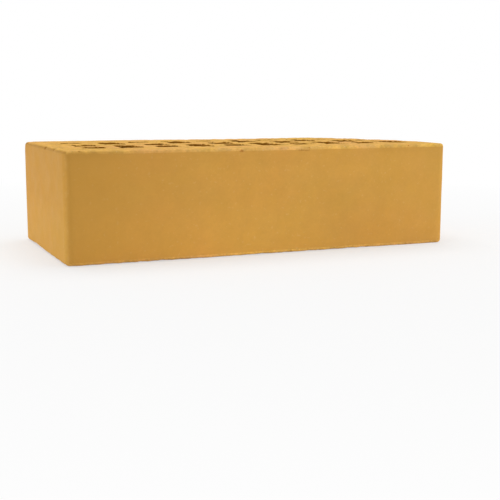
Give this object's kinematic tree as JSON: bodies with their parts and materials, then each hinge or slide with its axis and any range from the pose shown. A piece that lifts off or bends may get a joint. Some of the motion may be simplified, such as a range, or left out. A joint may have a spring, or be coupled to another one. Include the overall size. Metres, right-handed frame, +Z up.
{
  "type": "clinker brick",
  "caption": "Long, low clinker facing brick in straw-yellow fired clay, with upright slots in alternating columns through its bed faces and rounded upright arrises.",
  "frame": {"origin": "middle of the lower bed face", "axes": "+X along the brick's length, -Y out of the front stretcher face, +Z up through the bed faces and along the slots"},
  "size_m": [0.25, 0.12, 0.065],
  "materials": {
    "fired_clay": "matt, unglazed"
  },
  "bodies": {
    "root": {"clinker_brick": "fired_clay"}
  },
  "joints": []
}
